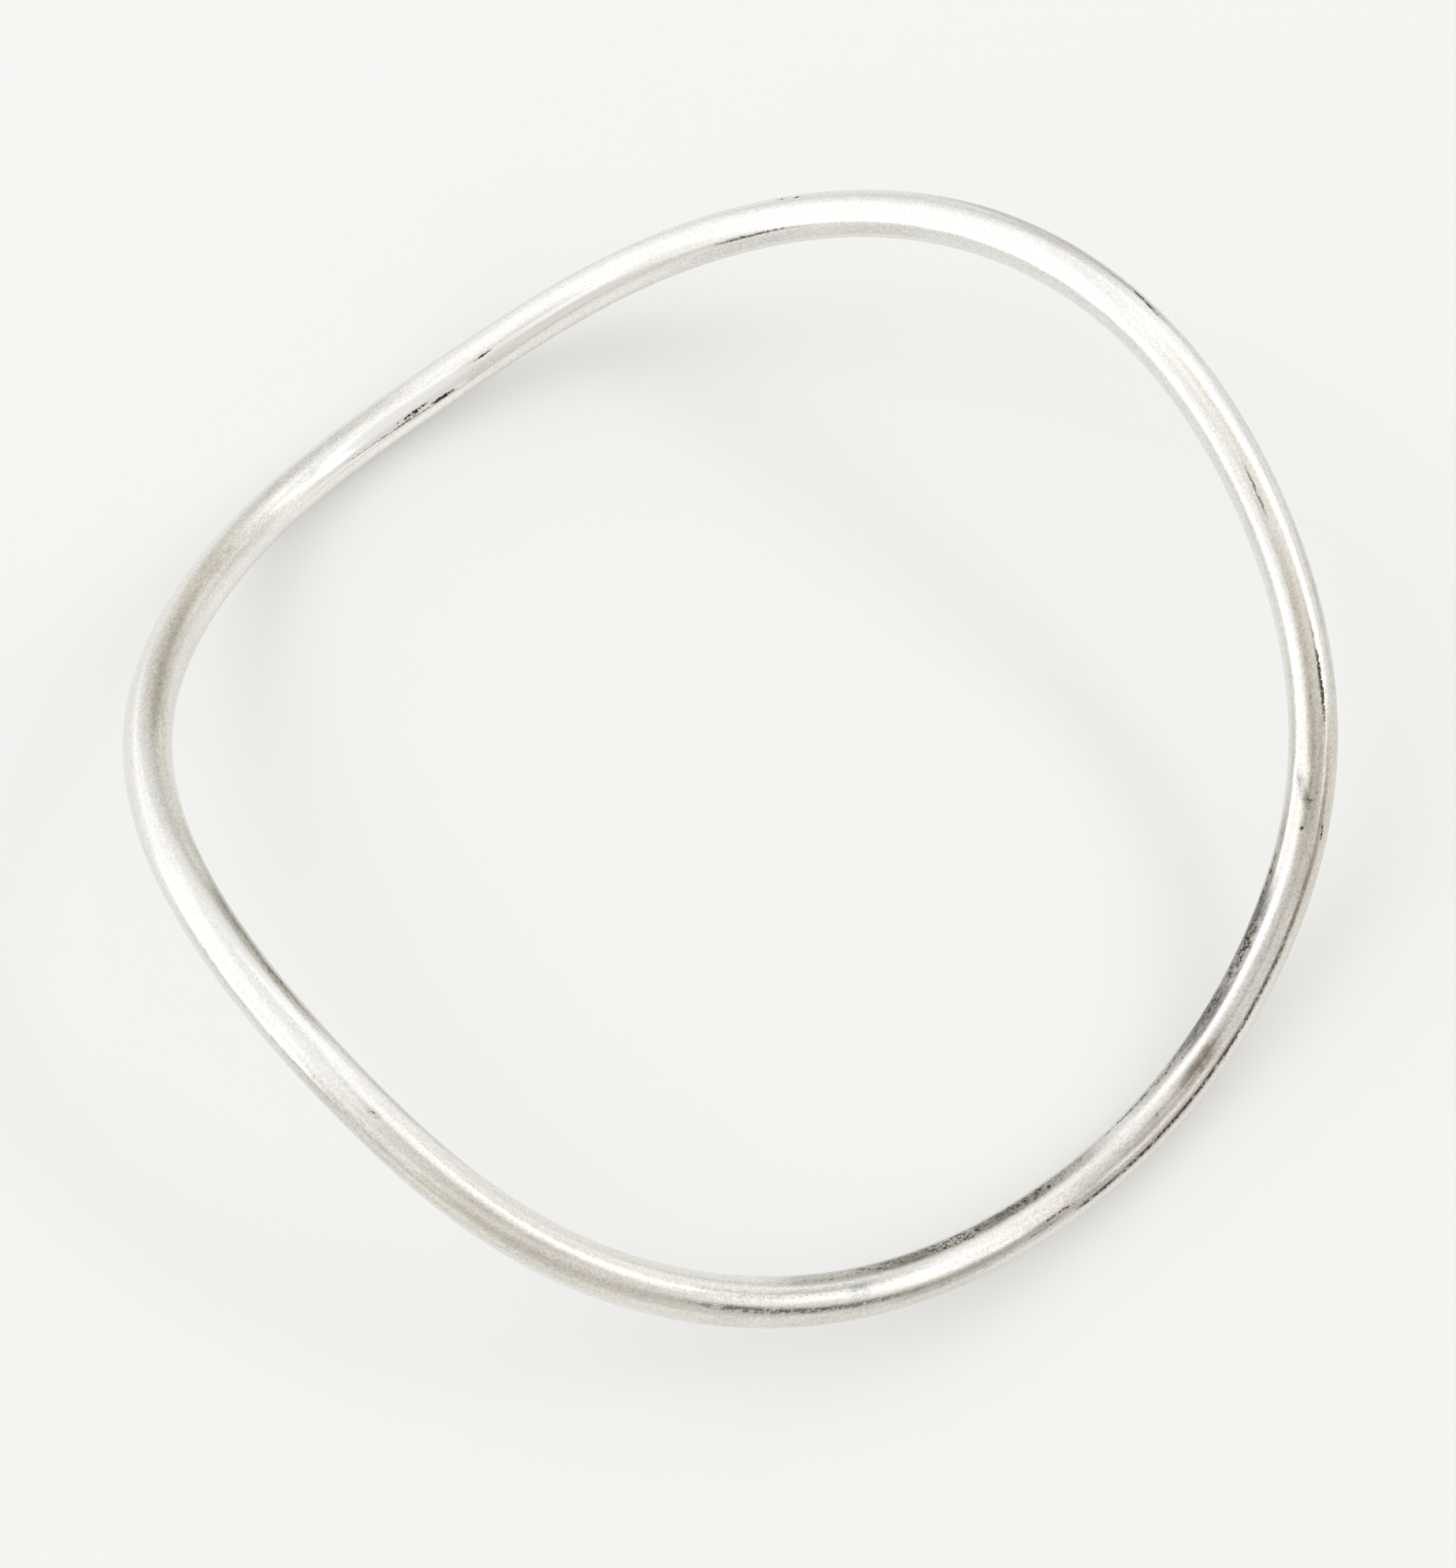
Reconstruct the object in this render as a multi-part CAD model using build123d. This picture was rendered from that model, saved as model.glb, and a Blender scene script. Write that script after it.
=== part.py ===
from build123d import *

import os
from collections import namedtuple
from math import cos, pi, radians, sin, sqrt

# A bangle of one length of round silver wire, bent into a ring with two gentle waves and soldered closed.
# It lies on its two low points, as it does when it is put down. Lengths are in millimetres and bearings in
# degrees, anticlockwise from +X as seen from above. +Z is up, and the origin is on the surface that the
# bangle lies on, under the middle of its box.

# Driving sizes
WIRE_DIAMETER = 2.92
INNER_DIAMETER = 64.7
WAVE_RISE = 16.0

# The wire's centre line is a chain of tangent arcs, two for each of these equal turns round the ring
TURNS = 16

# Bending by hand leaves waves in the ring. A row gives one wave's number of crests round the ring, its
# height as a share of a named size, and the bearing of one of its crests.
Wave = namedtuple("Wave", "crests share bearing")

# In and out, as shares of the centre line's radius: the ring is a little oval, three-sided and four-sided
OUTWARD_WAVES = [
    Wave(crests=2, share=0.019, bearing=-38),
    Wave(crests=3, share=0.013, bearing=25),
    Wave(crests=4, share=0.022, bearing=-10),
]

# Up and down, as shares of half the rise: the two waves themselves, then their lean and unevenness
UPWARD_WAVES = [
    Wave(crests=2, share=1.0, bearing=39),
    Wave(crests=1, share=0.12, bearing=77),
    Wave(crests=3, share=0.08, bearing=62),
    Wave(crests=4, share=0.035, bearing=30),
]


def add_up(waves, size, bearing):
    """Return the height of all the waves at a bearing, and how fast it changes with the bearing."""
    height = 0
    slope = 0
    for wave in waves:
        phase = wave.crests * (bearing - radians(wave.bearing))
        height += size * wave.share * cos(phase)
        slope -= size * wave.share * wave.crests * sin(phase)
    return height, slope


def station(bearing):
    """Return the centre line's point at a bearing, and its direction there."""
    ring_radius = (INNER_DIAMETER + WIRE_DIAMETER) / 2
    outward, outward_slope = add_up(OUTWARD_WAVES, ring_radius, bearing)
    upward, upward_slope = add_up(UPWARD_WAVES, WAVE_RISE / 2, bearing)
    radius = ring_radius + outward
    radial = Vector(cos(bearing), sin(bearing), 0)
    along = Vector(-sin(bearing), cos(bearing), 0)
    point = radial * radius + Vector(0, 0, upward)
    direction = radial * outward_slope + along * radius + Vector(0, 0, upward_slope)
    return point, direction.normalized()


def arc_pair(start, start_direction, end, end_direction):
    """Join two stations with two arcs that are tangent to both directions and to each other.

    Both arcs have legs of one length, from the arc's end to the point where its two tangents cross.
    """
    chord = end - start
    both = start_direction + end_direction
    squared = 2 - 2 * start_direction.dot(end_direction)
    linear = chord.dot(both)
    leg = (sqrt(linear**2 + squared * chord.dot(chord)) - linear) / squared
    middle = (start + start_direction * leg + end - end_direction * leg) / 2
    first = TangentArc(start, middle, tangent=start_direction)
    second = TangentArc(middle, end, tangent=first % 1)
    return [first, second]


def centre_line():
    """Return the arcs of the wire's centre line, in order round the ring."""
    stations = [station(2 * pi * turn / TURNS) for turn in range(TURNS)]
    arcs = []
    for here, there in zip(stations, stations[1:] + stations[:1]):
        arcs += arc_pair(*here, *there)
    return arcs


def wire_along(arc):
    """Return the round wire along one arc of the centre line."""
    section = Plane(arc @ 0, z_dir=arc % 0) * Circle(WIRE_DIAMETER / 2)
    return sweep(section, path=arc)


def bangle():
    """Return the whole ring as one solid, resting on the surface with its box centred on the origin."""
    lengths = [wire_along(arc) for arc in centre_line()]
    ring = lengths[0].fuse(*lengths[1:])
    box = ring.bounding_box()
    return Pos(-box.center().X, -box.center().Y, -box.min.Z) * ring


os.makedirs("parts", exist_ok=True)
export_step(bangle(), "parts/bangle.step")
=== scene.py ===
from collections import namedtuple
from math import cos, pi, radians, sin, tan

import bpy
import numpy as np
from mathutils import Matrix, Vector


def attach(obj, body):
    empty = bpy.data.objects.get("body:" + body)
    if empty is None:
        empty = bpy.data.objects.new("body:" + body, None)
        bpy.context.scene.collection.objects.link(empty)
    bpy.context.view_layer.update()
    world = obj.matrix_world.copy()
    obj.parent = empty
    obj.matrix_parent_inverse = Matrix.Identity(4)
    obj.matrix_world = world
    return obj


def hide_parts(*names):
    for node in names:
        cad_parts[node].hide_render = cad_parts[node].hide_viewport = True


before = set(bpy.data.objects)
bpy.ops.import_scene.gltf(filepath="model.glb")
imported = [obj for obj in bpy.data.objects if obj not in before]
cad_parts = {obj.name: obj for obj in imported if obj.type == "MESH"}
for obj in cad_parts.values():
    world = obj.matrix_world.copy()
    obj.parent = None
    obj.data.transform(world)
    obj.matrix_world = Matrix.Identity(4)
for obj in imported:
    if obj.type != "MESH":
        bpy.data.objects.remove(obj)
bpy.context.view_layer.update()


# The bangle: one length of solid silver wire, drawn round through a plate, bent by hand into a ring with two
# gentle waves, and its ends soldered together. It is polished all over and lightly worn, and it lies on its
# two low points. Lengths are in millimetres and bearings in degrees, anticlockwise from +X seen from above.
# A side of 0 degrees is the wire's outer side, 90 its top, 180 its inner side and 270 its underside.
WIRE_DIAMETER = 2.92
INNER_DIAMETER = 64.7
WAVE_RISE = 16.0
METRES = 0.001

# The mesh has this many points along the wire and around it, closer together at the joint and the crack
STEPS_ALONG = 1000
STEPS_AROUND = 88
JOINT_BEARING = 348
CRACK_BEARING = 120

Wave = namedtuple("Wave", "crests share bearing")

# In and out, as shares of the ring's radius: the ring's oval, then what the bender's hands left in it
OUTWARD_WAVES = [
    Wave(crests=2, share=0.019, bearing=-38),
    Wave(crests=3, share=0.013, bearing=25),
    Wave(crests=4, share=0.022, bearing=-10),
    Wave(crests=7, share=0.0016, bearing=-8),
    Wave(crests=8, share=0.0008, bearing=-4),
    Wave(crests=10, share=0.0009, bearing=-7),
]

# Up and down, as shares of half the rise: the two waves, their lean and their unevenness
UPWARD_WAVES = [
    Wave(crests=2, share=1.0, bearing=39),
    Wave(crests=1, share=0.12, bearing=77),
    Wave(crests=3, share=0.08, bearing=62),
    Wave(crests=4, share=0.035, bearing=30),
]

Mark = namedtuple("Mark", "bearing side length width slant depth dark")

# The soldered joint in three marks, then pits, nicks, the crack and marks of wear, in order round the ring:
# where each lies, its length along the wire and its width, its slant across the wire in degrees, how deep it
# goes, and how dark its tarnish is, where 0 is clean and 1 and more is black
MARKS = [
    Mark(bearing=348.1, side=94, length=0.45, width=0.9, slant=0, depth=0.01, dark=0.46),
    Mark(bearing=349.3, side=97, length=1.0, width=0.9, slant=0, depth=0.01, dark=0.25),
    Mark(bearing=350.6, side=118, length=1.6, width=0.9, slant=0, depth=0.05, dark=0.0),
    Mark(bearing=36.4, side=58, length=2.0, width=0.3, slant=-6, depth=0.03, dark=0.75),
    Mark(bearing=38.1, side=52, length=1.0, width=0.28, slant=2, depth=0.07, dark=0.85),
    Mark(bearing=76.9, side=61, length=0.5, width=0.28, slant=0, depth=0.02, dark=0.9),
    Mark(bearing=78.5, side=60, length=1.2, width=0.2, slant=0, depth=0.01, dark=0.7),
    Mark(bearing=114.1, side=119, length=1.7, width=0.15, slant=2, depth=0.015, dark=1.0),
    Mark(bearing=120.4, side=150, length=2.1, width=0.27, slant=0, depth=0.02, dark=1.3),
    Mark(bearing=124.0, side=138, length=3.6, width=0.16, slant=0.5, depth=0.02, dark=1.1),
    Mark(bearing=124.2, side=144, length=2.4, width=0.3, slant=-2, depth=0.01, dark=0.6),
    Mark(bearing=127.0, side=149, length=1.4, width=0.14, slant=0, depth=0.01, dark=0.55),
    Mark(bearing=212.3, side=140, length=4.4, width=0.7, slant=0, depth=0.0, dark=0.45),
    Mark(bearing=228.7, side=85, length=1.1, width=0.34, slant=5, depth=0.03, dark=0.65),
    Mark(bearing=241, side=79, length=6, width=0.24, slant=0, depth=0.0, dark=0.36),
    Mark(bearing=274, side=123, length=6, width=0.8, slant=-2, depth=0.0, dark=0.38),
    Mark(bearing=280, side=133, length=7, width=1.1, slant=-1, depth=0.0, dark=0.42),
    Mark(bearing=288, side=127, length=10, width=1.3, slant=0, depth=0.0, dark=0.52),
    Mark(bearing=296.2, side=44, length=4.5, width=0.2, slant=1, depth=0.0, dark=0.5),
    Mark(bearing=296.5, side=128, length=9, width=1.2, slant=0, depth=0.0, dark=0.5),
    Mark(bearing=298.4, side=57, length=2.8, width=0.22, slant=-1, depth=0.0, dark=0.7),
    Mark(bearing=302, side=134, length=6, width=0.7, slant=1, depth=0.0, dark=0.42),
    Mark(bearing=312, side=143, length=9, width=0.36, slant=0.5, depth=0.0, dark=0.55),
    Mark(bearing=312.5, side=82, length=5, width=0.3, slant=0, depth=0.0, dark=0.4),
    Mark(bearing=319, side=140, length=7, width=1.2, slant=0, depth=0.0, dark=0.45),
    Mark(bearing=320.1, side=82, length=2.3, width=0.75, slant=0, depth=0.0, dark=0.36),
    Mark(bearing=326, side=142, length=8, width=1.4, slant=0, depth=0.0, dark=0.5),
    Mark(bearing=332.5, side=143, length=8, width=1.4, slant=1, depth=0.0, dark=0.56),
    Mark(bearing=339.5, side=155, length=6, width=0.5, slant=0, depth=0.0, dark=0.58),
    Mark(bearing=345.4, side=47, length=1.0, width=0.22, slant=8, depth=0.02, dark=0.95),
    Mark(bearing=345.4, side=99, length=0.36, width=0.26, slant=0, depth=0.02, dark=0.8),
    Mark(bearing=346.6, side=90, length=0.22, width=0.2, slant=0, depth=0.01, dark=0.4),
    Mark(bearing=357.5, side=102, length=5.5, width=0.25, slant=0, depth=0.0, dark=0.38),
]

Patch = namedtuple("Patch", "bearing side length width slant softness colour")

# Patches that make the silver's colour brighter or darker, in order round the ring. The brighter ones are
# painted highlights; the darker ones are painted reflections of darker surroundings and painted shade, with
# duller polish and a tarnish film too thin to feel in places. A patch's colour is the share of red, green and
# blue light that it sends back next to the silver round it.
PATCHES = [
    Patch(bearing=2, side=143, length=26, width=0.7, slant=0, softness=0.3, colour=(0.9, 0.89, 0.865)),
    Patch(bearing=8, side=55, length=12, width=0.35, slant=0, softness=0.25, colour=(1.07, 1.07, 1.07)),
    Patch(bearing=8, side=69, length=14, width=0.25, slant=0, softness=0.2, colour=(1.2, 1.2, 1.2)),
    Patch(bearing=18, side=41, length=20, width=0.4, slant=0, softness=0.3, colour=(0.9, 0.9, 0.9)),
    Patch(bearing=20, side=94, length=22, width=0.6, slant=0, softness=0.3, colour=(1.15, 1.14, 1.12)),
    Patch(bearing=27, side=112, length=12, width=0.45, slant=0, softness=0.3, colour=(1.15, 1.15, 1.15)),
    Patch(bearing=36, side=72, length=12, width=0.4, slant=0, softness=0.3, colour=(1.08, 1.08, 1.08)),
    Patch(bearing=44, side=104, length=12, width=1.0, slant=0, softness=0.4, colour=(1.07, 1.07, 1.07)),
    Patch(bearing=45, side=166, length=56, width=0.6, slant=0, softness=0.4, colour=(0.99, 1, 1.035)),
    Patch(bearing=47, side=54, length=18, width=0.4, slant=0, softness=0.2, colour=(0.72, 0.72, 0.72)),
    Patch(bearing=50, side=152, length=24, width=0.7, slant=0, softness=0.3, colour=(0.96, 0.96, 0.94)),
    Patch(bearing=70, side=146, length=36, width=0.35, slant=0, softness=0.25, colour=(0.96, 0.96, 0.94)),
    Patch(bearing=76, side=168, length=16, width=0.7, slant=0, softness=0.2, colour=(0.9, 0.89, 0.87)),
    Patch(bearing=90, side=140, length=24, width=0.3, slant=0, softness=0.2, colour=(1.2, 1.2, 1.22)),
    Patch(bearing=105, side=121, length=12, width=0.3, slant=1, softness=0.15, colour=(1.25, 1.25, 1.25)),
    Patch(bearing=108, side=134, length=16, width=0.6, slant=0, softness=0.3, colour=(1.15, 1.14, 1.14)),
    Patch(bearing=112, side=172, length=24, width=0.6, slant=0, softness=0.3, colour=(1.1, 1.09, 1.09)),
    Patch(bearing=121, side=112, length=14, width=1.2, slant=0, softness=0.4, colour=(1.1, 1.1, 1.08)),
    Patch(bearing=127, side=128, length=10.5, width=1.1, slant=0, softness=0.3, colour=(1.68, 1.68, 1.7)),
    Patch(bearing=130, side=178, length=14, width=0.8, slant=0, softness=0.4, colour=(1.15, 1.15, 1.15)),
    Patch(bearing=132, side=84, length=12, width=0.35, slant=0, softness=0.2, colour=(0.89, 0.89, 0.89)),
    Patch(bearing=132, side=145, length=16, width=0.35, slant=0, softness=0.15, colour=(1.2, 1.2, 1.18)),
    Patch(bearing=135, side=68, length=13, width=0.6, slant=0, softness=0.3, colour=(0.86, 0.86, 0.85)),
    Patch(bearing=145, side=118, length=12, width=0.7, slant=0, softness=0.3, colour=(0.86, 0.85, 0.84)),
    Patch(bearing=150, side=98, length=12, width=0.6, slant=0, softness=0.4, colour=(1.14, 1.14, 1.13)),
    Patch(bearing=150, side=168, length=14, width=0.9, slant=0, softness=0.4, colour=(1.08, 1.08, 1.09)),
    Patch(bearing=157, side=108, length=10, width=0.4, slant=2, softness=0.3, colour=(0.93, 0.92, 0.9)),
    Patch(bearing=160, side=94, length=22, width=1.2, slant=2, softness=0.6, colour=(0.93, 0.91, 0.87)),
    Patch(bearing=164, side=110, length=16, width=1.2, slant=2.5, softness=0.6, colour=(0.86, 0.84, 0.8)),
    Patch(bearing=181, side=74, length=12, width=0.5, slant=0, softness=0.3, colour=(1.07, 1.07, 1.08)),
    Patch(bearing=182, side=131, length=20, width=0.8, slant=2, softness=0.4, colour=(0.92, 0.91, 0.89)),
    Patch(bearing=190, side=150, length=22, width=0.6, slant=0, softness=0.3, colour=(0.97, 0.97, 0.97)),
    Patch(bearing=191, side=86, length=13, width=0.45, slant=0, softness=0.3, colour=(1.09, 1.09, 1.09)),
    Patch(bearing=194, side=122, length=24, width=0.7, slant=1.5, softness=0.4, colour=(0.9, 0.91, 0.87)),
    Patch(bearing=204, side=110, length=14, width=0.5, slant=1, softness=0.3, colour=(1.2, 1.2, 1.2)),
    Patch(bearing=209, side=137, length=12, width=0.6, slant=0, softness=0.4, colour=(0.7, 0.69, 0.66)),
    Patch(bearing=212, side=115, length=16, width=0.4, slant=0, softness=0.2, colour=(1.2, 1.2, 1.2)),
    Patch(bearing=213, side=156, length=28, width=0.75, slant=0, softness=0.3, colour=(0.77, 0.77, 0.76)),
    Patch(bearing=216, side=43, length=18, width=0.7, slant=0, softness=0.4, colour=(0.82, 0.82, 0.81)),
    Patch(bearing=220, side=47, length=18, width=0.4, slant=0, softness=0.3, colour=(0.92, 0.92, 0.92)),
    Patch(bearing=220, side=130, length=20, width=0.4, slant=0, softness=0.2, colour=(1.1, 1.1, 1.12)),
    Patch(bearing=222, side=75, length=8, width=0.5, slant=0, softness=0.3, colour=(1.07, 1.07, 1.07)),
    Patch(bearing=230, side=14, length=16, width=0.7, slant=0, softness=0.4, colour=(0.94, 0.94, 0.95)),
    Patch(bearing=235, side=40, length=8, width=0.6, slant=0, softness=0.4, colour=(1.1, 1.1, 1.09)),
    Patch(bearing=238, side=30, length=24, width=0.7, slant=0, softness=0.4, colour=(0.9, 0.89, 0.87)),
    Patch(bearing=243, side=78, length=9, width=0.3, slant=1, softness=0.15, colour=(0.92, 0.9, 0.87)),
    Patch(bearing=244, side=55, length=20, width=0.5, slant=1, softness=0.3, colour=(0.9, 0.88, 0.84)),
    Patch(bearing=250, side=42, length=16, width=0.4, slant=0, softness=0.3, colour=(1.04, 1.03, 1.02)),
    Patch(bearing=250, side=93, length=20, width=0.75, slant=0, softness=0.4, colour=(0.93, 0.91, 0.88)),
    Patch(bearing=250, side=112, length=22, width=0.6, slant=0, softness=0.4, colour=(0.99, 0.98, 0.96)),
    Patch(bearing=262, side=106, length=12, width=0.5, slant=0, softness=0.3, colour=(1.05, 1.06, 1.08)),
    Patch(bearing=268, side=75, length=10, width=0.4, slant=2, softness=0.15, colour=(1.1, 1.1, 1.1)),
    Patch(bearing=270, side=89, length=13, width=0.5, slant=0, softness=0.3, colour=(0.78, 0.76, 0.75)),
    Patch(bearing=275, side=92, length=12, width=0.5, slant=0, softness=0.3, colour=(0.9, 0.89, 0.89)),
    Patch(bearing=276, side=18, length=18, width=1.2, slant=0, softness=0.5, colour=(0.9, 0.89, 0.87)),
    Patch(bearing=276.9, side=78, length=1.2, width=0.8, slant=0, softness=0.5, colour=(0.84, 0.88, 0.89)),
    Patch(bearing=278, side=131, length=10, width=1.0, slant=0, softness=0.4, colour=(0.73, 0.73, 0.71)),
    Patch(bearing=285, side=57, length=10, width=0.3, slant=0, softness=0.15, colour=(1.14, 1.14, 1.13)),
    Patch(bearing=289, side=127, length=13, width=0.9, slant=0, softness=0.3, colour=(0.73, 0.725, 0.71)),
    Patch(bearing=292, side=112, length=16, width=0.4, slant=0, softness=0.3, colour=(1.03, 1, 0.96)),
    Patch(bearing=296, side=57, length=12, width=0.35, slant=0, softness=0.2, colour=(0.82, 0.8, 0.79)),
    Patch(bearing=298.5, side=128, length=10, width=0.9, slant=0, softness=0.3, colour=(0.71, 0.705, 0.69)),
    Patch(bearing=300, side=40, length=28, width=0.5, slant=0, softness=0.3, colour=(0.77, 0.75, 0.74)),
    Patch(bearing=300, side=68, length=18, width=0.5, slant=0, softness=0.3, colour=(0.88, 0.87, 0.86)),
    Patch(bearing=300, side=152, length=40, width=0.5, slant=0, softness=0.4, colour=(0.97, 0.97, 0.98)),
    Patch(bearing=304, side=58, length=10, width=0.4, slant=0, softness=0.3, colour=(0.88, 0.87, 0.86)),
    Patch(bearing=308, side=86, length=22, width=0.4, slant=0, softness=0.2, colour=(0.89, 0.88, 0.86)),
    Patch(bearing=310, side=54, length=12, width=0.35, slant=-1, softness=0.15, colour=(1.06, 1.06, 1.08)),
    Patch(bearing=310, side=140, length=12, width=0.5, slant=0, softness=0.4, colour=(0.92, 0.92, 0.91)),
    Patch(bearing=312, side=75, length=14, width=0.6, slant=0, softness=0.3, colour=(0.82, 0.8, 0.79)),
    Patch(bearing=320, side=140, length=10, width=1.1, slant=0, softness=0.3, colour=(0.77, 0.77, 0.76)),
    Patch(bearing=320.2, side=82, length=3.2, width=0.8, slant=0, softness=0.4, colour=(0.86, 0.82, 0.77)),
    Patch(bearing=330, side=60, length=24, width=0.6, slant=0, softness=0.3, colour=(0.88, 0.86, 0.845)),
    Patch(bearing=330, side=141, length=12, width=1.3, slant=1, softness=0.2, colour=(0.61, 0.605, 0.6)),
    Patch(bearing=331, side=110, length=26, width=0.3, slant=0, softness=0.15, colour=(1.15, 1.15, 1.15)),
    Patch(bearing=332, side=34, length=16, width=0.5, slant=0, softness=0.3, colour=(1.08, 1.07, 1.07)),
    Patch(bearing=335, side=88, length=24, width=0.55, slant=0, softness=0.2, colour=(0.78, 0.76, 0.745)),
    Patch(bearing=340, side=152, length=8, width=0.7, slant=0, softness=0.4, colour=(0.78, 0.775, 0.77)),
    Patch(bearing=346, side=46, length=10, width=0.6, slant=0, softness=0.3, colour=(0.98, 0.96, 0.93)),
    Patch(bearing=346, side=66, length=10, width=0.65, slant=0, softness=0.3, colour=(0.85, 0.83, 0.81)),
    Patch(bearing=347, side=139, length=14, width=0.8, slant=0, softness=0.4, colour=(0.9, 0.89, 0.88)),
    Patch(bearing=349, side=113, length=1.8, width=0.5, slant=20, softness=0.2, colour=(0.74, 0.74, 0.74)),
    Patch(bearing=350, side=58, length=8, width=0.3, slant=0, softness=0.15, colour=(0.9, 0.88, 0.85)),
    Patch(bearing=352, side=32, length=26, width=0.9, slant=0, softness=0.4, colour=(0.84, 0.83, 0.81)),
    Patch(bearing=352, side=112, length=16, width=0.8, slant=0, softness=0.4, colour=(0.97, 0.96, 0.94)),
    Patch(bearing=355, side=70, length=10, width=0.35, slant=0, softness=0.25, colour=(0.95, 0.94, 0.91)),
    Patch(bearing=357, side=92, length=14, width=0.9, slant=0, softness=0.4, colour=(0.92, 0.91, 0.87)),
    Patch(bearing=358, side=103, length=18, width=0.5, slant=0, softness=0.3, colour=(0.86, 0.84, 0.82)),
]

Line = namedtuple("Line", "bearing side width dark")

# The thin dark line left where the drawing plate scored the wire, followed round the ring: where it lies,
# its width, and how dark it is from 0 to 1, with even stretches between
LINE = [
    Line(bearing=1.5, side=76.5, width=0.13, dark=0.75),
    Line(bearing=4, side=79, width=0.1, dark=0.4),
    Line(bearing=7, side=82, width=0.08, dark=0.0),
    Line(bearing=13, side=103, width=0.06, dark=0.0),
    Line(bearing=15, side=103, width=0.12, dark=0.72),
    Line(bearing=18, side=102, width=0.12, dark=0.72),
    Line(bearing=20, side=103, width=0.06, dark=0.0),
    Line(bearing=74, side=146, width=0.06, dark=0.0),
    Line(bearing=79, side=145, width=0.1, dark=0.75),
    Line(bearing=82, side=145.5, width=0.14, dark=0.9),
    Line(bearing=85, side=145.5, width=0.14, dark=0.75),
    Line(bearing=87, side=143, width=0.1, dark=0.15),
    Line(bearing=100, side=147, width=0.08, dark=0.3),
    Line(bearing=112, side=154, width=0.08, dark=0.35),
    Line(bearing=118, side=156, width=0.1, dark=0.45),
    Line(bearing=126, side=150, width=0.12, dark=0.8),
    Line(bearing=133, side=146, width=0.11, dark=0.6),
    Line(bearing=138, side=138, width=0.06, dark=0.0),
    Line(bearing=204, side=136, width=0.1, dark=0.0),
    Line(bearing=209, side=138, width=0.2, dark=0.35),
    Line(bearing=213, side=139, width=0.2, dark=0.35),
    Line(bearing=217, side=138, width=0.08, dark=0.0),
    Line(bearing=254, side=64, width=0.15, dark=0.0),
    Line(bearing=260, side=64, width=0.22, dark=0.4),
    Line(bearing=265, side=60, width=0.32, dark=0.72),
    Line(bearing=273, side=52.5, width=0.28, dark=0.74),
    Line(bearing=280, side=51, width=0.28, dark=0.6),
    Line(bearing=286, side=50, width=0.28, dark=0.42),
    Line(bearing=292, side=50, width=0.25, dark=0.36),
    Line(bearing=297, side=56, width=0.22, dark=0.33),
    Line(bearing=300, side=57, width=0.12, dark=0.0),
    Line(bearing=300.2, side=39, width=0.12, dark=0.3),
    Line(bearing=301.5, side=38, width=0.18, dark=0.92),
    Line(bearing=310, side=40, width=0.19, dark=0.95),
    Line(bearing=322, side=45.5, width=0.21, dark=0.88),
    Line(bearing=334, side=52, width=0.25, dark=0.76),
    Line(bearing=341, side=56, width=0.27, dark=0.56),
    Line(bearing=345, side=52, width=0.27, dark=0.25),
    Line(bearing=349, side=60, width=0.1, dark=0.0),
    Line(bearing=354, side=70, width=0.14, dark=0.4),
    Line(bearing=356.5, side=73, width=0.17, dark=0.95),
    Line(bearing=359.5, side=75.5, width=0.17, dark=1.0),
]


def add_up(waves, size, bearing):
    """Return the height of all the waves at each bearing."""
    return sum(size * wave.share * np.cos(wave.crests * (bearing - radians(wave.bearing))) for wave in waves)


def unit(vectors):
    """Return vectors with a length of one."""
    return vectors / np.linalg.norm(vectors, axis=-1, keepdims=True)


def centre_line(bearing):
    """Return the points of the wire's centre line, over the middle of the ring's box."""
    ring_radius = (INNER_DIAMETER + WIRE_DIAMETER) / 2
    radius = ring_radius + add_up(OUTWARD_WAVES, ring_radius, bearing)
    height = add_up(UPWARD_WAVES, WAVE_RISE / 2, bearing)
    line = np.stack([radius * np.cos(bearing), radius * np.sin(bearing), height], axis=1)
    line[:, :2] -= (line[:, :2].max(axis=0) + line[:, :2].min(axis=0)) / 2
    line[:, 2] += WIRE_DIAMETER / 2 - height.min()
    return line


def turned(angle):
    """Return angles in degrees brought within half a turn of zero."""
    return (angle + 180) % 360 - 180


def ease(share):
    """Return a share from 0 to 1 with soft ends."""
    share = np.clip(share, 0, 1)
    return share**2 * (3 - 2 * share)


def offsets(spot, bearing, side, per_degree):
    """Return how far each point lies along and across the wire from a mark or patch, in its slanted frame."""
    along = turned(bearing - spot.bearing) * per_degree
    across = turned(side - spot.side) * pi * WIRE_DIAMETER / 360
    return along, across - along * tan(radians(spot.slant))


def stations():
    """Return bearings in degrees round the ring, three times as close together at the joint and the crack."""
    even = np.arange(0, 360.01, 0.05)
    at_joint = ease(5 - abs(even - JOINT_BEARING))
    at_crack = ease(7 - abs(even - CRACK_BEARING))
    crowding = 1 + 2 * np.maximum(at_joint, at_crack)
    shares = np.concatenate([[0], np.cumsum((crowding[1:] + crowding[:-1]) / 2)])
    return np.interp(np.linspace(0, shares[-1], STEPS_ALONG, endpoint=False), shares, even)


def mark_amount(mark, lengthwise, crosswise):
    """Return how much of a mark each point has: 1 at its middle, falling off to 0 past its oval edge."""
    squared = (2 * lengthwise / mark.length) ** 2 + (2 * crosswise / mark.width) ** 2
    return np.exp(-(squared**1.5))


def patch_amount(patch, lengthwise, crosswise):
    """Return how much of a patch each point has: 1 inside it, fading at its long ends and its soft sides."""
    fade = 0.35 * patch.length
    amount = ease((patch.length / 2 - abs(lengthwise)) / fade + 0.5)
    return amount * ease((patch.width / 2 - abs(crosswise)) / patch.softness + 0.5)


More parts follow.
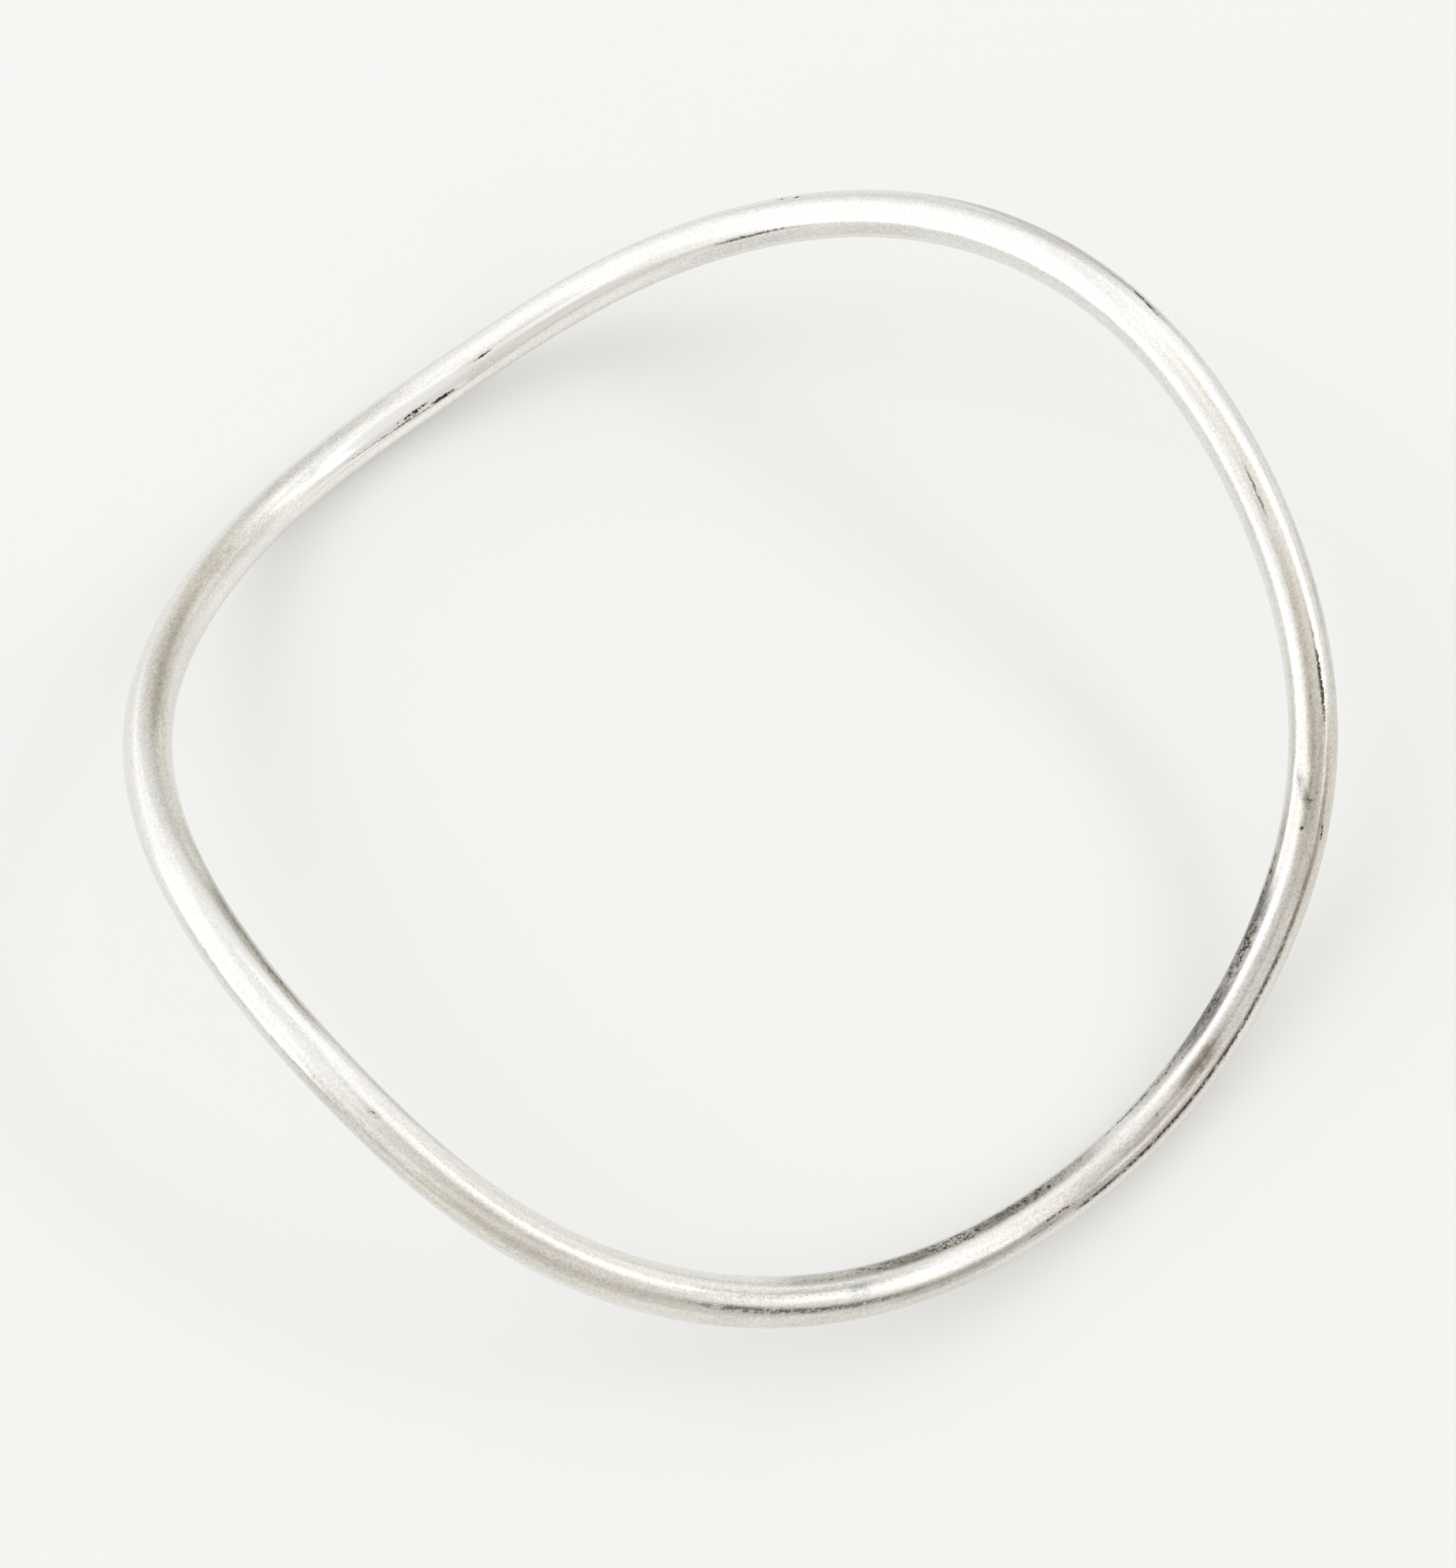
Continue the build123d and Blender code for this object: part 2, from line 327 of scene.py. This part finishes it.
def wire_mesh():
    """Return the wire as a closed tube, with its marks, patches and line, and its length in millimetres."""
    bearing = stations()
    line = centre_line(np.radians(bearing))
    along = unit(np.roll(line, -1, axis=0) - np.roll(line, 1, axis=0))
    radial = np.stack([np.cos(np.radians(bearing)), np.sin(np.radians(bearing)), 0 * bearing], axis=1)
    outward = unit(radial - along * (radial * along).sum(axis=1)[:, None])
    upward = np.cross(outward, along)
    side = np.linspace(0, 360, STEPS_AROUND, endpoint=False)
    turn = np.radians(side)
    facing = outward[:, None] * np.cos(turn)[None, :, None] + upward[:, None] * np.sin(turn)[None, :, None]

    length = np.linalg.norm(np.roll(line, -1, axis=0) - line, axis=1).sum()
    bearings = bearing[:, None] + 0 * side[None]
    sides = side[None] + 0 * bearing[:, None]
    reach = WIRE_DIAMETER / 2 + 0 * bearings
    tarnish = 0 * bearings
    for mark in MARKS:
        amount = mark_amount(mark, *offsets(mark, bearings, sides, length / 360))
        reach -= mark.depth * amount
        tarnish = np.maximum(tarnish, mark.dark * amount)
    # The patches' colours, painted highlights and painted shade among duller polish, multiplied into one per
    # point
    polish_and_painted_light = np.ones(bearings.shape + (3,))
    for patch in PATCHES:
        amount = patch_amount(patch, *offsets(patch, bearings, sides, length / 360))
        polish_and_painted_light *= 1 + amount[..., None] * (np.array(patch.colour) - 1)
    points = line[:, None] + facing * reach[:, :, None]
    places = [place.bearing for place in LINE]
    line_side, line_width, line_dark = (
        np.interp(bearing, places, [getattr(place, name) for place in LINE], period=360)
        for name in ("side", "width", "dark")
    )
    path = np.stack([line_side / 360, line_width, line_dark], axis=-1)[:, None] + 0 * polish_and_painted_light

    # Faces, and the surface unrolled flat from 0 to 1 along the wire and around it
    i, j = np.meshgrid(np.arange(STEPS_ALONG), np.arange(STEPS_AROUND), indexing="ij")
    corners = [(i, j), (i + 1, j), (i + 1, j + 1), (i, j + 1)]
    faces = np.stack([a % STEPS_ALONG * STEPS_AROUND + b % STEPS_AROUND for a, b in corners], axis=-1)
    ends = np.append(bearing, 360) / 360
    shares = np.stack([np.stack([ends[a], b / STEPS_AROUND], axis=-1) for a, b in corners], axis=2)
    mesh = bpy.data.meshes.new("silver_wire")
    mesh.from_pydata((points.reshape(-1, 3) * METRES).tolist(), [], faces.reshape(-1, 4).tolist())
    mesh.uv_layers.new(name="unrolled").data.foreach_set("uv", shares.ravel())
    mesh.attributes.new("tarnish", "FLOAT", "POINT").data.foreach_set("value", tarnish.ravel())
    mesh.attributes.new("polish_and_painted_light", "FLOAT_VECTOR", "POINT").data.foreach_set("vector", polish_and_painted_light.ravel())
    mesh.attributes.new("line", "FLOAT_VECTOR", "POINT").data.foreach_set("vector", path.ravel())
    mesh.shade_smooth()
    return mesh, length


class Link:
    """A socket of a shader. Operators on it add Math nodes, so shader maths reads as plain Python."""

    def __init__(self, tree, socket=None):
        self.tree = tree
        self.socket = socket

    def node(self, kind, settings=None, sockets=None, output=0):
        """Add a node: first its settings, then a value or a link for each named socket."""
        made = self.tree.nodes.new("ShaderNode" + kind)
        for name, setting in (settings or {}).items():
            setattr(made, name, setting)
        for name, value in (sockets or {}).items():
            if isinstance(value, Link):
                self.tree.links.new(value.socket, made.inputs[name])
            else:
                made.inputs[name].default_value = value
        return Link(self.tree, made.outputs[output])

    def maths(self, operation, *values):
        """Add a Math node."""
        return self.node("Math", {"operation": operation}, dict(enumerate(values)))

    def __add__(self, other):
        return self.maths("ADD", self, other)

    def __sub__(self, other):
        return self.maths("SUBTRACT", self, other)

    def __rsub__(self, other):
        return self.maths("SUBTRACT", other, self)

    def __mul__(self, other):
        return self.maths("MULTIPLY", self, other)

    def __truediv__(self, other):
        return self.maths("DIVIDE", self, other)

    def __abs__(self):
        return self.maths("ABSOLUTE", self)

    __radd__ = __add__
    __rmul__ = __mul__

    def parts(self):
        """Return a vector's three numbers."""
        split = self.node("SeparateXYZ", sockets={0: self}).socket.node
        return [Link(self.tree, output) for output in split.outputs]

    def mix(self, first, second):
        """Blend two colours, with this link as the share of the second."""
        return self.node("Mix", {"data_type": "RGBA"}, {0: self, 6: first, 7: second}, output=2)

    def soft_step(self, start, end):
        """Rise smoothly from 0 where this link is start to 1 where it is end."""
        sockets = {0: self, 1: start, 2: end, 3: 0.0, 4: 1.0}
        return self.node("MapRange", {"interpolation_type": "SMOOTHSTEP"}, sockets)

    def feed(self, shader, name):
        """Lead this link to a shader's socket."""
        self.tree.links.new(self.socket, shader.inputs[name])


SILVER = (0.828, 0.813, 0.773)
BROWN_FILM = (0.27, 0.24, 0.195, 1)
BLACK_FILM = (0.03, 0.025, 0.02, 1)
POLISH_ROUGHNESS = 0.24
STREAK_ROUGHNESS = 0.08
TARNISH_ROUGHNESS = 0.2
SCRATCH_DEPTH = 0.000006


def polished_silver(length):
    """Return the finish of the wire: polished silver with painted highlights and painted shade in patches,
    partly dull polish, with the scored line and tarnish.
    """
    material = bpy.data.materials.new("polished_silver")
    material.use_nodes = True
    tree = material.node_tree
    shader = tree.nodes["Principled BSDF"]
    surface = Link(tree)
    share_along, share_around, _ = surface.node("UVMap", {"uv_map": "unrolled"}).parts()
    turn = share_around * (2 * pi)
    aside = surface.maths("COSINE", turn) * (WIRE_DIAMETER / 2)
    above = surface.maths("SINE", turn) * (WIRE_DIAMETER / 2)

    def grain(size, stretch, detail, roughness):
        """Return noise about zero on the wire: its size in millimetres, and its stretch along the wire."""
        spot = surface.node("CombineXYZ", sockets={0: share_along * (length / stretch), 1: aside, 2: above})
        sockets = {"Vector": spot, "Scale": 1 / size, "Detail": detail, "Roughness": roughness}
        return surface.node("TexNoise", sockets=sockets) - 0.5

    streaks = grain(size=0.4, stretch=14, detail=2, roughness=0.6)
    specks = grain(size=0.15, stretch=1.3, detail=2, roughness=0.8)
    ragged = grain(size=0.3, stretch=1.7, detail=4, roughness=0.75)
    blotches = grain(size=1.1, stretch=2.5, detail=2, roughness=0.6)
    worn = 1 + (ragged + specks) * 3

    # The silver, with the patches' painted highlights and painted shade in its colour: it shimmers a little
    # all over and more where the patches darken it, and the darkest parts are stippled
    polish_and_painted_light = surface.node("Attribute", {"attribute_name": "polish_and_painted_light"}, output="Vector")
    silver = polish_and_painted_light.node("VectorMath", {"operation": "MULTIPLY"}, {0: polish_and_painted_light, 1: SILVER})
    dullness_and_painted_shade = surface.maths("MAXIMUM", 1 - polish_and_painted_light.parts()[1], 0)
    shimmer = 1 + streaks * 0.1 + specks * 0.55
    shimmer = shimmer + (specks * 2.2 + blotches * 1.5 + ragged * 2) * dullness_and_painted_shade
    stippled = (dullness_and_painted_shade * worn).soft_step(0.32, 0.5)
    shimmer = shimmer * (1 - stippled * 0.45)
    silver = silver.node("VectorMath", {"operation": "SCALE"}, {0: silver, "Scale": shimmer})

    # The scored line: it wanders a little from its path, and breaks off where the grain is low
    side, width, dark = surface.node("Attribute", {"attribute_name": "line"}, output="Vector").parts()
    unbroken = (ragged + specks).soft_step(-0.3, 0.05)
    offset = (share_around - side) * (pi * WIRE_DIAMETER) + ragged * 0.25 + specks * 0.3
    scored = (1 - (abs(offset) / width).soft_step(0.1, 1.2)) * dark * unbroken

    # Tarnish in the marks and the line: a brown film at first, and black where it is thickest
    tarnish = surface.node("Attribute", {"attribute_name": "tarnish"}, output="Fac")
    stained = (tarnish * worn).soft_step(0.2, 0.85)
    blackened = surface.maths("MAXIMUM", scored, stained)
    brown = blackened.soft_step(0, 0.7) * 0.7
    black = blackened.soft_step(0.35, 1) * 0.95
    black.mix(brown.mix(silver, BROWN_FILM), BLACK_FILM).feed(shader, "Base Color")

    roughness = POLISH_ROUGHNESS + streaks * STREAK_ROUGHNESS + blackened * TARNISH_ROUGHNESS
    roughness.feed(shader, "Roughness")
    sockets = {"Height": (streaks + specks) * 0.5, "Strength": 1.0, "Distance": SCRATCH_DEPTH}
    surface.node("Bump", sockets=sockets).feed(shader, "Normal")
    shader.inputs["Metallic"].default_value = 1.0
    return material


wire, wire_length = wire_mesh()
bangle = bpy.data.objects.new("bangle_wire", wire)
bpy.context.scene.collection.objects.link(bangle)
wire.materials.append(polished_silver(wire_length))
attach(bangle, "root")
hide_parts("bangle")


# The surface: a plain pale round tabletop of matt acrylic, lit a little from below. The bangle lies loose
# on it. Its radius is in metres.
TOP_RADIUS = 1.2
TOP_CORNERS = 96
TOP_COLOUR = (0.545, 0.545, 0.534, 1)
TOP_GLOW_COLOUR = (1, 1, 0.985, 1)
TOP_GLOW = 0.259

turns = [2 * pi * corner / TOP_CORNERS for corner in range(TOP_CORNERS)]
rim = [(TOP_RADIUS * cos(turn), TOP_RADIUS * sin(turn), 0) for turn in turns]
mesh = bpy.data.meshes.new("tabletop")
mesh.from_pydata(rim, [], [range(TOP_CORNERS)])
tabletop = bpy.data.objects.new("tabletop", mesh)
bpy.context.scene.collection.objects.link(tabletop)
material = bpy.data.materials.new("matt_acrylic")
material.use_nodes = True
shader = material.node_tree.nodes["Principled BSDF"]
shader.inputs["Base Color"].default_value = TOP_COLOUR
shader.inputs["Roughness"].default_value = 1.0
shader.inputs["Specular IOR Level"].default_value = 0.0
shader.inputs["Emission Color"].default_value = TOP_GLOW_COLOUR
shader.inputs["Emission Strength"].default_value = TOP_GLOW
material.cycles.emission_sampling = "NONE"
mesh.materials.append(material)


# The light: a tent of glowing white cloth over the table, with brighter and darker panels sewn into it. Each
# panel lies over the ones before it and is soft at its edges. Its half width, half height, turn and softness
# are in degrees as seen from the bangle, and its warmth is what its red gains on its green. The tent's radius
# is in metres.
Panel = namedtuple("Panel", "azimuth elevation wide high turn softness brightness warmth")

TENT_RADIUS = 5.0
TENT_STEP = 1.5
TENT_BRIGHTNESS = 1.22
TENT_WARMTH = -0.01
BLUE_LOSS = 1.6
PANELS = [
    Panel(azimuth=52, elevation=12, wide=66, high=33, turn=10, softness=9, brightness=0.82, warmth=0),
    Panel(azimuth=282, elevation=0, wide=62, high=45, turn=5, softness=9, brightness=0.65, warmth=0.03),
    Panel(azimuth=221, elevation=42, wide=14, high=28, turn=8, softness=9, brightness=1.07, warmth=0),
    Panel(azimuth=230, elevation=73, wide=60, high=28, turn=9, softness=9, brightness=0.78, warmth=0.02),
    Panel(azimuth=142, elevation=53, wide=34, high=43, turn=4, softness=12, brightness=1.03, warmth=0),
    Panel(azimuth=40, elevation=29, wide=51, high=17, turn=-28, softness=10, brightness=1.03, warmth=0),
    Panel(azimuth=185, elevation=-2, wide=23, high=31, turn=7, softness=6, brightness=3.5, warmth=-0.02),
    Panel(azimuth=168, elevation=37, wide=32, high=25, turn=0, softness=10, brightness=1.25, warmth=-0.01),
    Panel(azimuth=66, elevation=3, wide=14, high=28, turn=-15, softness=10, brightness=0.7, warmth=0.01),
    Panel(azimuth=-7, elevation=41, wide=22, high=6, turn=25, softness=6, brightness=1.3, warmth=0),
    Panel(azimuth=-7, elevation=41, wide=22, high=2.5, turn=25, softness=3, brightness=3, warmth=0),
]


def from_sphere(azimuth, elevation):
    """Return the unit vector towards an azimuth and an elevation in degrees."""
    heading = np.radians(azimuth)
    climb = np.radians(elevation)
    level = np.cos(climb)
    return np.stack([np.cos(heading) * level, np.sin(heading) * level, np.sin(climb)], axis=-1)


def covered(panel, towards):
    """Return how much of a panel lies in each direction: 1 well inside it, falling softly to 0."""
    middle = from_sphere(panel.azimuth, panel.elevation)
    across = from_sphere(panel.azimuth + 90, 0)
    upright = np.cross(middle, across)
    turn = radians(panel.turn)
    width_axis = across * cos(turn) + upright * sin(turn)
    height_axis = upright * cos(turn) - across * sin(turn)
    ahead = towards @ middle
    share = 1
    for axis, half_size in ((width_axis, panel.wide), (height_axis, panel.high)):
        angle = np.degrees(np.arctan2(abs(towards @ axis), ahead))
        share = share * ease((half_size - angle) / panel.softness + 0.5)
    return share


def tone(brightness, warmth):
    """Return a light's colour from its brightness and its warmth."""
    return brightness * np.array([1 + warmth, 1, 1 - BLUE_LOSS * warmth, 1])


def glow(towards):
    """Return the tent's light in each direction, as a colour."""
    light = np.ones(towards.shape[:-1] + (1,)) * tone(TENT_BRIGHTNESS, TENT_WARMTH)
    for panel in PANELS:
        share = covered(panel, towards)[..., None]
        light = light * (1 - share) + tone(panel.brightness, panel.warmth) * share
    return light


azimuths, elevations = np.meshgrid(np.arange(0, 360, TENT_STEP), np.arange(0, 90.1, TENT_STEP), indexing="ij")
towards = from_sphere(azimuths, elevations)
rows = towards.shape[1]
i, j = np.meshgrid(np.arange(len(towards)), np.arange(rows - 1), indexing="ij")
ahead = (i + 1) % len(towards)
faces = np.stack([i * rows + j, i * rows + j + 1, ahead * rows + j + 1, ahead * rows + j], axis=-1)
mesh = bpy.data.meshes.new("light_tent")
mesh.from_pydata((towards.reshape(-1, 3) * TENT_RADIUS).tolist(), [], faces.reshape(-1, 4).tolist())
mesh.attributes.new("glow", "FLOAT_COLOR", "POINT").data.foreach_set("color", glow(towards).ravel())
tent = bpy.data.objects.new("light_tent", mesh)
bpy.context.scene.collection.objects.link(tent)
tent.visible_camera = False
material = bpy.data.materials.new("glowing_cloth")
material.use_nodes = True
tree = material.node_tree
cloth = Link(tree)
brightness = cloth.node("Attribute", {"attribute_name": "glow"}, output="Color")
cloth.node("Emission", sockets={"Color": brightness}).feed(tree.nodes["Material Output"], "Surface")
material.cycles.emission_sampling = "NONE"
mesh.materials.append(material)


# The lamps: two flat lamps hung in the tent and turned to the bangle, a long low one on the right and a
# square one on the left, for its two soft shadows. Widths, heights and turns are in degrees as seen from the
# bangle, and the distance is in metres.
Lamp = namedtuple("Lamp", "name azimuth elevation width height turn brightness")

LAMP_DISTANCE = 1.5
LAMPS = [
    Lamp(name="lamp_right", azimuth=-7, elevation=42, width=45, height=12, turn=27, brightness=2.4),
    Lamp(name="lamp_left", azimuth=163, elevation=52, width=30, height=30, turn=0, brightness=1.5),
]
for lamp in LAMPS:
    data = bpy.data.lights.new(lamp.name, "AREA")
    data.shape = "RECTANGLE"
    data.size = 2 * LAMP_DISTANCE * tan(radians(lamp.width / 2))
    data.size_y = 2 * LAMP_DISTANCE * tan(radians(lamp.height / 2))
    data.energy = lamp.brightness * pi * data.size * data.size_y
    light = bpy.data.objects.new(lamp.name, data)
    bpy.context.scene.collection.objects.link(light)
    middle = Vector(from_sphere(lamp.azimuth, lamp.elevation))
    across = Vector(from_sphere(lamp.azimuth + 90, 0))
    upright = middle.cross(across)
    turn = radians(lamp.turn)
    wide = across * cos(turn) + upright * sin(turn)
    facing = Matrix((wide, middle.cross(wide), middle)).transposed().to_4x4()
    facing.translation = middle * LAMP_DISTANCE
    light.matrix_world = facing
    light.visible_camera = False
    light.visible_glossy = False


# The room: what shows past the table's edge in the low views, pale and plain
ROOM_COLOUR = (0.9, 0.9, 0.89, 1)

room = bpy.data.worlds.new("pale_room")
room.use_nodes = True
room.node_tree.nodes["Background"].inputs["Color"].default_value = ROOM_COLOUR
bpy.context.scene.world = room


# The camera: above the near side of the ring and turned a little about its own axis, as in the photograph.
# Its distance and the point it looks at are in millimetres, and so are its lens and sensor.
CAMERA_DISTANCE = 210.0
CAMERA_ELEVATION = 67.16
CAMERA_ROLL = -5.12
LOOK_AT = (-0.367, 0.441, 0.0)
LENS = 77.33
SENSOR = 36.0

pitch = radians(CAMERA_ELEVATION)
roll = radians(CAMERA_ROLL)
ahead = Vector((0, cos(pitch), -sin(pitch)))
level = Vector((1, 0, 0))
lifted = Vector((0, sin(pitch), cos(pitch)))
right = level * cos(roll) + lifted * sin(roll)
up = lifted * cos(roll) - level * sin(roll)
camera_data = bpy.data.cameras.new("camera")
camera_data.lens = LENS
camera_data.sensor_width = SENSOR
camera_data.clip_start = 0.01
camera = bpy.data.objects.new("camera", camera_data)
bpy.context.scene.collection.objects.link(camera)
place = Matrix((right, up, -ahead)).transposed().to_4x4()
place.translation = (Vector(LOOK_AT) - ahead * CAMERA_DISTANCE) * METRES
camera.matrix_world = place
bpy.context.scene.camera = camera
bpy.context.scene.view_settings.view_transform = "Standard"
